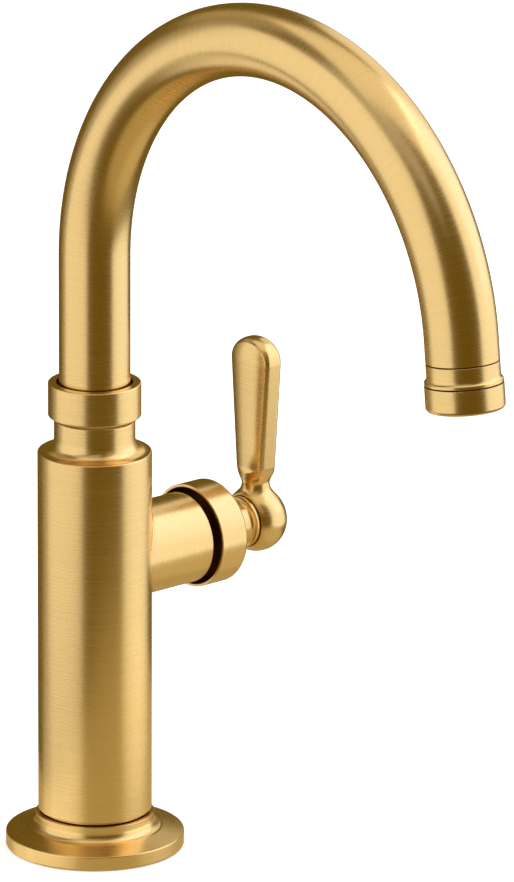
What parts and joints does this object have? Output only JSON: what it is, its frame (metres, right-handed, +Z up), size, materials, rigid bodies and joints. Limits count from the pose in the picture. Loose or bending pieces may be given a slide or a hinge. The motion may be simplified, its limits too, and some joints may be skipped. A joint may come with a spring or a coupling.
{
  "type": "gooseneck bar faucet",
  "caption": "Single-hole gooseneck bar faucet in brushed gold brass, with a swivelling arched spout, an aerator and a side lever on a short valve branch.",
  "frame": {"origin": "centre of the base's underside on the deck, at the mouth of the fixing stud's hole", "axes": "+Z up along the column, -Y towards the spout's outlet, +X along the valve branch to the lever"},
  "size_m": [0.1192, 0.237, 0.3265],
  "materials": {
    "brushed_gold": "brushed, gold coloured",
    "raw_brass": "as turned",
    "copper": "drawn pipe",
    "steel": "machined",
    "ceramic": "lapped",
    "white_plastic": "moulded",
    "grey_plastic": "moulded",
    "rubber": "matt"
  },
  "bodies": {
    "base": {"base_flange": "brushed_gold", "base_gasket": "rubber", "base_plug": "raw_brass", "hot_riser": "copper", "cold_riser": "copper", "valve_block": "raw_brass", "block_seal": "rubber", "column": "brushed_gold", "valve_branch": "brushed_gold", "swivel_washer": "rubber", "spout_screw": "steel", "port_seals": "rubber", "cartridge_base": "grey_plastic", "fixed_disc": "ceramic", "cartridge_body": "grey_plastic", "retaining_nut": "raw_brass"},
    "cartridge_turn": {"cartridge_rotor": "white_plastic", "pivot_pin": "steel"},
    "ceramic_slide": {"moving_disc": "ceramic", "disc_carrier": "white_plastic"},
    "handle": {"cartridge_stem": "steel", "handle_skirt": "brushed_gold", "handle_stem": "brushed_gold", "stem_screw": "steel", "lever_stud": "steel", "lever": "brushed_gold"},
    "spout": {"spout_spigot": "raw_brass", "spout_o_rings": "rubber", "spout_tube": "brushed_gold", "spout_collar": "brushed_gold", "outlet_adapter": "brushed_gold", "aerator_washer": "rubber", "flow_regulator": "rubber", "aerator_insert": "grey_plastic", "aerator_grid": "white_plastic", "aerator_housing": "brushed_gold"}
  },
  "joints": [
    {"name": "spout_swivel", "type": "hinge", "parent": "base", "child": "spout", "pos_m": [0, 0, 0.16], "axis": [0, 0, 1], "continuous": true},
    {"name": "temperature_turn", "type": "hinge", "parent": "base", "child": "cartridge_turn", "pos_m": [0.033, 0, 0.1062], "axis": [1, 0, 0], "range_deg": [-50, 50]},
    {"name": "flow_lift", "type": "hinge", "parent": "cartridge_turn", "child": "handle", "pos_m": [0.033, 0, 0.1062], "axis": [0, 1, 0], "range_deg": [0, 25]},
    {"name": "disc_slide", "type": "slide", "parent": "cartridge_turn", "child": "ceramic_slide", "axis": [0, 0, 1], "range_m": [0, 0.0033]}
  ],
  "couplings": [
    {"joint": "disc_slide", "follows": "flow_lift", "m_per_rad": 0.0073}
  ]
}
